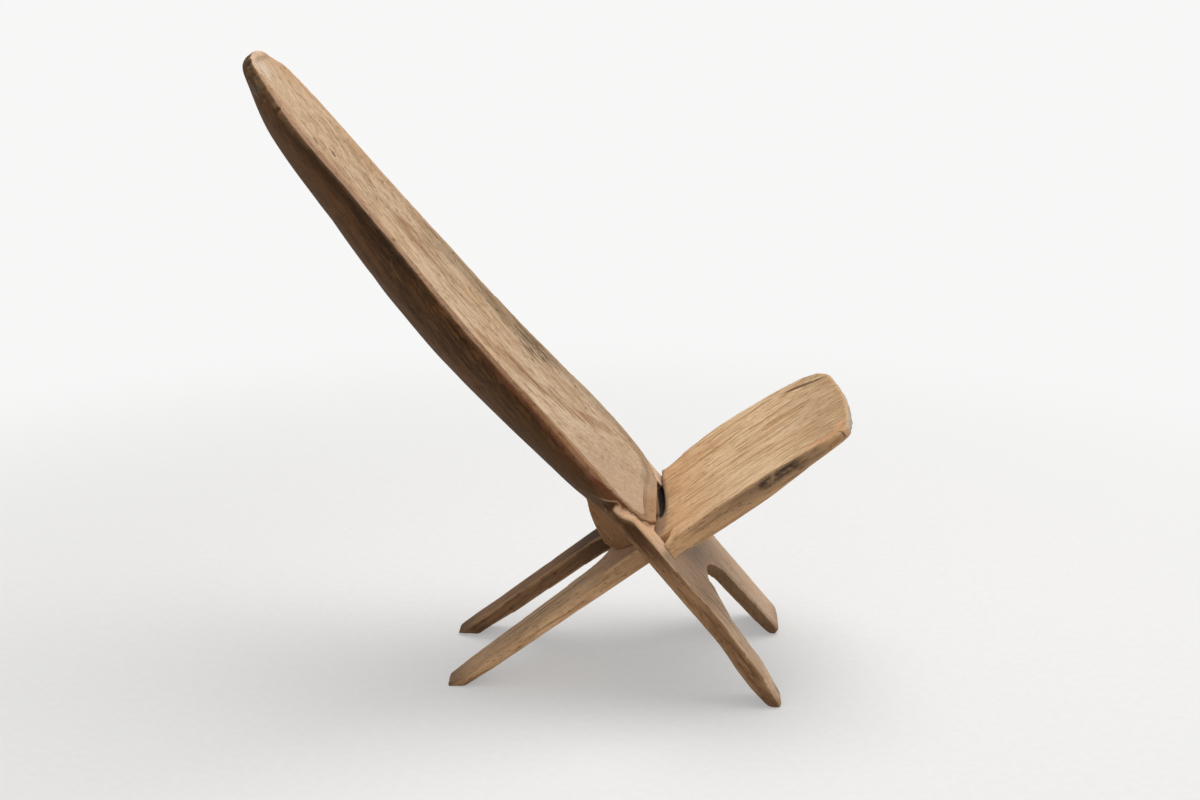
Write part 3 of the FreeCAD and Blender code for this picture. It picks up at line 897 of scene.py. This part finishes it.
# %% [markdown]
# ## Marks of the sitter's side
# Some have a fixed place: a grey-olive streak beside the far rim that ends in a dark
# stain, rusty streaks that slant down from it, and small dark spots.

# %% Add the marks of the sitter's side
far_streak = spot.streak((104, 560), (122, 350), 19, wander * 0.8)
front = mix(far_streak * streak.rise(0.34, 0.58) * 0.5, front, (122, 105, 80))
stain = spot.blot((119, 388), (18, 36), 0.8, wander * 0.14)
front = mix(stain * fibre.rise(0.4, 0.6) * 0.75, front, (80, 68, 52))
for start, end, width, share in (
    ((36, 480), (68, 310), 15, 0.6),
    ((60, 370), (92, 240), 13, 0.55),
    ((84, 290), (122, 196), 9, 0.5),
    ((-40, 430), (-10, 250), 12, 0.35),
    ((66, 660), (84, 500), 13, 0.5),
    ((20, 800), (36, 640), 12, 0.4),
    ((34, 700), (44, 650), 5, 0.5),
    ((-12, 800), (-6, 690), 4, 0.35),
):
    streaky = 0.2 + streak.rise(0.4, 0.56) * 0.8
    front = mix(spot.streak(start, end, width, wander * 0.5) * streaky * share, front, rust)
for centre, reach, share in (
    ((15, 778), (2.2, 7), 0.8), ((38, 752), (3, 5), 0.7),
    ((-50, 626), (2.2, 5), 0.7), ((-62, 596), (2.4, 6), 0.7),
    ((-20, 520), (1.8, 6), 0.5), ((20, 300), (1.8, 5), 0.5),
):
    front = mix(spot.blot(centre, reach, 0.5, wander * 0.3) * share, front, (74, 54, 38))
front = mix(along.rise(866, 900) * 0.6, front, (206, 180, 156))
chalk = spot.blot((-4, 882), (10, 11), 0.8, wander * 0.2)
front = mix(chalk * 0.5, front, (206, 198, 188))
back_finish.tell("sitter's side")

# %% [markdown]
# ## The rim of the back
# The rim is known by its distance from the outline, which is made to wander a little,
# so that the tan band and the dark line beside it look worn and not drawn.

# %% Colour the rim
band_colour = mix(along.rise(330, 480), (156, 119, 84), (184, 148, 120))
band_colour = mix(streak.rise(0.5, 0.7) * 0.5, band_colour, brown)
near_share = side.rise(40, -20) * 0.65 + 0.35
low_share = near_share * along.rise(890, 850)
rim_edge = margin + wander * 0.14 - along.rise(165, 235) * 1.5 + along.rise(380, 600) * 3
rim_band = rim_edge.rise(7.4, 5.6)
front = mix(rim_band * low_share * 0.85, front, band_colour)
dish_line = rim_edge.near(7.2, 1.7) * (patch.rise(0.25, 0.6) * 0.5 + 0.5)
front = mix(dish_line * low_share * 0.75, front, (74, 53, 36))
far_rim = (margin - 13 + wander).rise(6, 0) * side.rise(20, 60)
far_rim = far_rim * along.rise(640, 560)
front = mix(far_rim * 0.35, front, (128, 108, 84))
high_rim = margin.rise(22, 6) * side.rise(10, 36) * along.rise(640, 720)
front = mix(high_rim * 0.5, front, (180, 140, 102))
back_finish.tell("rim")

# %% [markdown]
# ## The sides and the rear
# These are the darkest wood of the chair: red-brown under the rim, lighter behind, and
# mottled at the old top end. A band below the upper rim and the faces under the lip get
# painted shade. The way the surface faces tells them from the front.

# %% Colour the sides and the rear
dark = layers(
    mix(patch.rise(0.35, 0.65), (66, 43, 20), (82, 53, 26)),
    (streak, 0.48, 0.62, 0.7, (50, 32, 15)),
    (fibre, 0.5, 0.62, 0.6, (116, 78, 44)),
    (band, 0.5, 0.62, 0.5, (104, 68, 36)),
)
red_band = (below + wander * 0.8).rise(15, 8) * along.rise(560, 300)
dark = mix(red_band * 0.75, dark, (112, 62, 38))
rear_light = spot.face_out.rise(-0.72, -0.95)
dark = mix(rear_light * 0.6, dark, (104, 74, 46))
dark = mix(along.rise(470, 300) * below.rise(14, 24) * 0.75, dark, (74, 46, 9))
shaded = below.rise(30, 12) * along.rise(520, 600) * along.rise(830, 780)
dark = mix(shaded * 0.6, dark, (42, 29, 19))
old_tip = along.rise(810, 885)
dark = mix(old_tip * mottle.rise(0.48, 0.6) * 0.6, dark, (112, 98, 80))
dark = mix(old_tip * mottle.rise(0.42, 0.3) * 0.7, dark, (42, 34, 27))
lip_stripe = (below.rise(2, 4) * below.rise(16, 11)) * along.rise(196, 176)
dark = mix(lip_stripe * 0.8, dark, (48, 38, 30))
# Painted shade on the faces under the lip, above the slot.
under_lip_shade = along.rise(142, 138) * (spot.face_along * -1).rise(0.2, 0.6)
dark = mix(under_lip_shade * 0.7, dark, (40, 30, 22))

is_front = (spot.face_out + (streak - 0.5) * 0.16).rise(0.34, 0.5)
bevel = (below + wander * 0.1).rise(7.5, 5.5) * spot.face_out.rise(0.25, 0.4)
bevel = bevel * spot.face_out.rise(0.92, 0.84) * side.rise(-20, -50)
bevel = bevel * along.rise(215, 250) * along.rise(885, 860)
blade = mix(is_front, dark, front)
bevel_colour = mix(along.rise(330, 520), (134, 92, 60), (160, 124, 96))
bevel_colour = mix(fibre.rise(0.46, 0.6) * 0.6, bevel_colour, (116, 80, 58))
blade = mix(bevel * (along.rise(640, 480) * 0.45 + 0.4), blade, bevel_colour)
back_finish.tell("blade")

# %% [markdown]
# ## The front legs
# They go from dark brown at the crossing to a paler brown below. Their fronts are pale,
# the far leg and the web are greyer, and a long drying check runs up the near leg.

# %% Colour the front legs
leg_side = layers(
    mix(along.rise(170, 60), (74, 46, 20), (156, 118, 84)),
    (along, 45, 5, 0.8, (122, 88, 58)),
    (streak, 0.48, 0.66, 0.5, (80, 54, 34)),
)
pale_fibres = fibre.rise(0.5, 0.68) * (along.rise(160, 80) * 0.35 + 0.1)
leg_side = mix(pale_fibres, leg_side, (176, 140, 106))
leg_side = mix(fibre.rise(0.42, 0.3) * 0.4, leg_side, (62, 43, 28))
leg_front = layers(
    mix(patch.rise(*PATCHY), (248, 214, 180), (228, 192, 158)),
    (streak, 0.5, 0.68, 0.55, (172, 138, 108)),
    (fibre, 0.52, 0.7, 0.4, (164, 132, 104)),
)
far_leg = side.rise(-40, 20)
web = side.near(0, 100) * along.rise(20, 60)
leg_front = mix(far_leg * 0.55, leg_front, (206, 176, 150))
leg_front = mix(web * (band.rise(0.3, 0.6) * 0.5 + 0.35), leg_front, (178, 158, 140))
inner = (spot.face_side * side.rise(-20, 20) * -1).rise(0.3, 0.7)
leg_side = mix(inner * 0.7, leg_side, (138, 110, 84))
high_leg = along.rise(105, 150) * side.rise(-60, -90)
leg_front = mix(high_leg * 0.6, leg_front, (196, 156, 118))
check = spot.streak((-134, -70), (-118, 70), 1.5, wander * 0.35)
leg_front = mix(check * 0.75, leg_front, (70, 50, 36))
leg_back = mix(patch.rise(0.4, 0.6), (104, 74, 48), (86, 60, 38))
legs = mix(spot.face_out.rise(0.12, 0.5), leg_side, leg_front)
legs = mix(spot.face_out.rise(-0.5, -0.85), legs, leg_back)
back_finish.tell("legs")

# %% [markdown]
# ## The heel block and the joins
# A rubbed crease and, under the lip, a painted shadow in the crease where the blade ends.

# %% Colour the heel block and the joins
block = mix(patch.rise(*PATCHY), (138, 101, 68), (124, 90, 58))
block = mix(streak.rise(0.5, 0.7) * 0.4, block, (96, 66, 42))
on_block = (out.rise(164, 158) * abs(side).rise(100, 96)) * along.rise(232, 218)
on_block = on_block * (1 - is_front)
base = mix((leg + (mottle - 0.5) * 0.2).rise(0.4, 0.6), blade, legs)
base = mix(on_block, base, block)
crease = leg.near(0.5, 0.35) * along.rise(142, 152) * abs(spot.face_side).rise(0.4, 0.7)
base = mix(crease * 0.7, base, (176, 140, 106))
# Painted shadow in the near crease between the blade's end and the leg.
crease_shadow = leg.near(0.5, 0.4) * along.rise(142, 150) * along.rise(205, 185)
crease_shadow = crease_shadow * spot.face_out.rise(0.2, 0.5) * side.rise(-70, -90)
base = mix(crease_shadow * 0.7, base, (62, 45, 32))
back_finish.tell("whole back")

# %% [markdown]
# ## Wear on the back
# Ridges are rubbed pale and dents are dark, all but in the even middle of the hollow.

# %% Wear the back and give it relief
edges_only = 1 - is_front * margin.rise(12, 18) * (1 - leg)
base = mix(proud.rise(0.3, 1.4) * edges_only * 0.3, base, (188, 150, 112))
dents = (0 - proud).rise(0.3, 2) * edges_only * 0.7
finish_wood(spot, streak, fibre, pore, base, dents, (156, 134, 112))
back_plank.data.materials.append(back_finish.material)
back_finish.tell("finish of the back")

# %% [markdown]
# ## The finish of the seat
# The seat is golden tan with lengthwise streaks, browner towards both of its ends. A few
# short dark lines are drying checks.

# %% Finish the top of the seat
seat_finish = Finish("seat_wood_finish")
spot = Place(seat_finish, SEAT)
band, streak, fibre, pore, patch, mottle = grain(spot, 8.2)
mix, layers = seat_finish.mix, seat_finish.layers
proud, margin, below = seat_finish.marks("proud", "margin", "below")
side, along, out = spot.side, spot.along, spot.out
wander = (mottle - 0.5) * 5 + (patch - 0.5) * 6

top = layers(
    mix(patch.rise(*PATCHY), (218, 187, 150), (208, 172, 131)),
    (along, 300, 190, 0.6, (210, 165, 119)),
    (along, 330, 430, 0.85, (172, 141, 106)),
    (fibre, 0.5, 0.64, 0.55, (160, 120, 82)),
    (fibre, 0.48, 0.36, 0.5, (232, 206, 168)),
    (streak, 0.5, 0.64, 0.65, (154, 112, 74)),
    (band, 0.56, 0.7, 0.4, (160, 122, 84)),
)
for start, end, width, share in (
    ((88, 352), (88, 390), 1.6, 0.8),
    ((-90, 408), (-95, 436), 1.5, 0.8),
    ((-76, 222), (-100, 294), 1.8, 0.8),
    ((132, 366), (104, 446), 4, 0.85),
    ((40, 215), (30, 330), 1.4, 0.6),
    ((-30, 260), (-34, 350), 1.3, 0.55),
    ((10, 330), (4, 405), 1.3, 0.5),
    ((-50, 200), (-62, 262), 1.6, 0.6),
):
    top = mix(spot.streak(start, end, width, wander * 0.2) * share, top, (80, 55, 36))
seat_finish.tell("top")

# %% [markdown]
# ## The seat's edges and underside
# A dark grey stain lies along the near edge towards the front, where the top edge gets a
# painted orange highlight. The front end is bleached.

# %% Colour the seat's edges
edge = layers(
    mix(patch.rise(*PATCHY), (204, 161, 118), (188, 146, 106)),
    (streak, 0.46, 0.64, 0.6, (134, 100, 70)),
    (fibre, 0.48, 0.38, 0.4, (214, 176, 136)),
)
stained = (along + wander * 3).rise(200, 306) * along.rise(420, 396)
upper = (below + wander * 0.9).rise(30, 12)
edge = mix(stained * upper * 0.55, edge, (114, 92, 70))
blackened = (along + wander * 2).rise(304, 322) * along.rise(392, 362)
blackened = blackened * (below + wander).rise(19, 9)
edge = mix(blackened * mottle.rise(0.32, 0.58) * 0.85, edge, (50, 41, 36))
edge = mix(along.rise(425, 440) * 0.6, edge, (196, 152, 122))
end = mix(mottle.rise(0.4, 0.6), (196, 180, 162), (178, 156, 132))
edge = mix(spot.face_along.rise(0.35, 0.75) * side.rise(-150, -135), edge, end)
under = mix(patch.rise(0.4, 0.6), (128, 96, 68), (106, 78, 54))
under = mix(streak.rise(0.48, 0.68) * 0.5, under, (78, 56, 38))
edge = mix(spot.face_out.rise(-0.55, -0.85), edge, under)
is_top = (spot.face_out + (streak - 0.5) * 0.14).rise(0.58, 0.74)
board = mix(is_top, edge, top)
# A painted orange highlight along the rounded near top edge, towards the front.
arris_highlight = (margin + wander * 0.5).near(6, 8) * side.rise(-96, -116)
arris_highlight = arris_highlight * along.rise(372, 400)
board = mix(arris_highlight * spot.face_out.rise(0.4, 0.7) * 0.55, board, (210, 150, 106))
black = spot.streak((-150, 430), (-158, 446), 2.2)
board = mix(black * spot.face_out.rise(-0.3, 0.2) * 0.85, board, (34, 26, 20))
seat_finish.tell("board")

# %% [markdown]
# ## The tail and the rear legs
# The tail starts as tan as the board. The near leg is greyer low down and checked along
# its top, and the far leg is painted much darker up towards the board, as its shade.

# %% Colour the tail and the rear legs
tail = layers(
    mix(patch.rise(*PATCHY), (220, 176, 132), (202, 160, 118)),
    (streak, 0.46, 0.64, 0.65, (140, 102, 70)),
    (fibre, 0.5, 0.68, 0.4, (206, 180, 150)),
    (fibre, 0.42, 0.3, 0.45, (96, 70, 50)),
    (along, 20, 110, 0.6, (150, 114, 82)),
)
tail = mix(spot.face_out.rise(0.3, 0.7) * 0.4, tail, (176, 148, 120))
for start, end in (((-84, -120), (-76, 80)), ((-92, -60), (-88, 10))):
    check = spot.streak(start, end, 1.8, wander * 0.35) * spot.face_out.rise(0.3, 0.6)
    tail = mix(check * 0.85, tail, (60, 43, 31))
# Painted shade on the far leg, darkest just under the board.
far_leg_shade = mix(along.rise(-40, 100), (136, 102, 72), (54, 34, 16))
far_leg_shade = mix(streak.rise(0.46, 0.66) * 0.5, far_leg_shade, (86, 62, 43))
tail = mix(side.rise(-20, 20), tail, far_leg_shade)
base = mix(along.rise(170, 178), tail, board)
seat_finish.tell("tail")

# %% [markdown]
# ## Wear and shadow on the seat
# The gap in the tail is painted near black, as its shade and some dirt, and the cut faces
# of the shoulders are painted near black as their shade.

# %% Wear the seat and give it relief
# Painted shade, with some dirt, in the gap in the tail beside the lip.
hollow = spot.blot((58, 165), (70, 7.5), 0.2) * out.rise(126, 130)
base = mix(hollow, base, (30, 20, 12))
# Painted shade on the cut faces of the shoulders.
shadowed = spot.face_along.rise(-0.35, -0.7) * along.rise(186, 182)
shadowed = shadowed * abs(side).rise(96, 102)
base = mix(shadowed * 0.85, base, (34, 26, 20))
base = mix(proud.rise(0.25, 1.3) * 0.38, base, (206, 166, 124))
dents = (0 - proud).rise(0.3, 2) * 0.6
finish_wood(spot, streak, fibre, pore, base, dents, (130, 112, 94))
seat_plank.data.materials.append(seat_finish.material)
seat_finish.tell("finish of the seat")

# %% [markdown]
# ## The floor
# A plain pale floor curves up into a backdrop. The camera sees it brighter than it
# lights the wood: part of it glows for camera rays only, more so far away, and what is
# left under the chair keeps the shadow.

# %% Lay the floor
BEND_STEPS = 24
BEND_START, BEND_RADIUS = 2.2, 0.9
FLOOR_DARK, FLOOR_LIGHT = (0.80, 0.79, 0.775, 1), (0.83, 0.82, 0.805, 1)
NEARLY_WHITE = (0.93, 0.93, 0.925, 1)
profile = [(-3.5, 0)]
for step in range(BEND_STEPS + 1):
    turn = math.radians(90 * step / BEND_STEPS)
    ahead = BEND_START + BEND_RADIUS * math.sin(turn)
    profile.append((ahead, BEND_RADIUS - BEND_RADIUS * math.cos(turn)))
profile.append((BEND_START + BEND_RADIUS, 4))
corners = [(x, y, z) for y, z in profile for x in (-6, 6)]
quads = [(2 * k, 2 * k + 1, 2 * k + 3, 2 * k + 2) for k in range(len(profile) - 1)]
floor_mesh = bpy.data.meshes.new("floor")
floor_mesh.from_pydata(corners, [], quads)
floor_mesh.shade_smooth()
floor = add_object("floor", floor_mesh)
paint = Finish("pale_floor")
spot = paint.node("ShaderNodeTexCoord", {}, "Object")
speckle = paint.node("ShaderNodeTexNoise", {"Vector": spot, "Scale": 90, "Detail": 2})
shade = paint.node(
    "ShaderNodeMix", {0: speckle.rise(0.3, 0.7), 6: FLOOR_DARK, 7: FLOOR_LIGHT}, 2,
    data_type="RGBA",
)
matt = paint.node("ShaderNodeBsdfPrincipled", {"Base Color": shade, "Roughness": 0.9})
white = paint.node("ShaderNodeEmission", {0: NEARLY_WHITE, 1: 1})
away = paint.node("ShaderNodeVectorMath", {0: spot}, "Value", operation="LENGTH")
rays = paint.node("ShaderNodeLightPath", {}).socket.node.outputs
seen = Mask(paint, rays["Is Camera Ray"])
seen = seen.highest(Mask(paint, rays["Is Glossy Ray"]))
glow = seen * (0.35 + away.rise(0.6, 1.9) * 0.65)
paint.show(paint.node("ShaderNodeMixShader", {0: glow, 1: matt, 2: white}))
floor_mesh.materials.append(paint.material)
print("floor of", len(quads), "faces")

# %% [markdown]
# ## Light
# A broad soft lamp above, a weak low fill and a pale sky. The camera sees the sky, too,
# whiter than it shines on the wood.

# %% Hang the lamps and the sky


def lamp(name, where, target, size, watts):
    """A square soft lamp that points at the target."""
    light = bpy.data.lights.new(name, "AREA")
    light.shape = "SQUARE"
    light.size = size
    light.energy = watts
    held = add_object(name, light)
    aim = mathutils.Vector(target) - mathutils.Vector(where)
    held.location = where
    held.rotation_euler = aim.to_track_quat("-Z", "Y").to_euler()


lamp("key_lamp", (0.6, 0.4, 2.65), (0, 0, 0.35), 2, 56)
lamp("fill_lamp", (-0.7, -2.6, 1.4), (0, 0, 0.3), 1.8, 12)
world = bpy.data.worlds.new("sky")
bpy.context.scene.world = world
world.use_nodes = True
sky = world.node_tree
sky_light = sky.nodes["Background"]
sky_light.inputs[0].default_value = (1, 1, 1, 1)
sky_light.inputs[1].default_value = 0.38
sky_seen = sky.nodes.new("ShaderNodeBackground")
sky_seen.inputs[0].default_value = NEARLY_WHITE
sky_seen.inputs[1].default_value = 1
ray = sky.nodes.new("ShaderNodeLightPath")
either = sky.nodes.new("ShaderNodeMixShader")
sky.links.new(ray.outputs["Is Camera Ray"], either.inputs[0])
sky.links.new(sky_light.outputs[0], either.inputs[1])
sky.links.new(sky_seen.outputs[0], either.inputs[2])
sky.links.new(either.outputs[0], sky.nodes["World Output"].inputs[0])
print("lamps:", [light.name for light in bpy.data.lights])

# %% [markdown]
# ## The camera
# It stands where the picture was taken from, tilted down as the four feet on one level
# floor require.

# %% Place the camera
LENS, SENSOR_WIDTH = 52.5, 36
TILT_DOWN = 15.46
camera_data = bpy.data.cameras.new("camera")
camera_data.lens = LENS
camera_data.sensor_width = SENSOR_WIDTH
camera = add_object("camera", camera_data)
camera.location = (0.1452, -2.1866, 0.965)
camera.rotation_euler = (math.radians(90 - TILT_DOWN), 0, math.atan2(0.0384, 0.9993))
bpy.context.scene.camera = camera
bpy.context.scene.view_settings.view_transform = "Standard"
print("camera stands", round(-camera.location.y, 2), "m away")
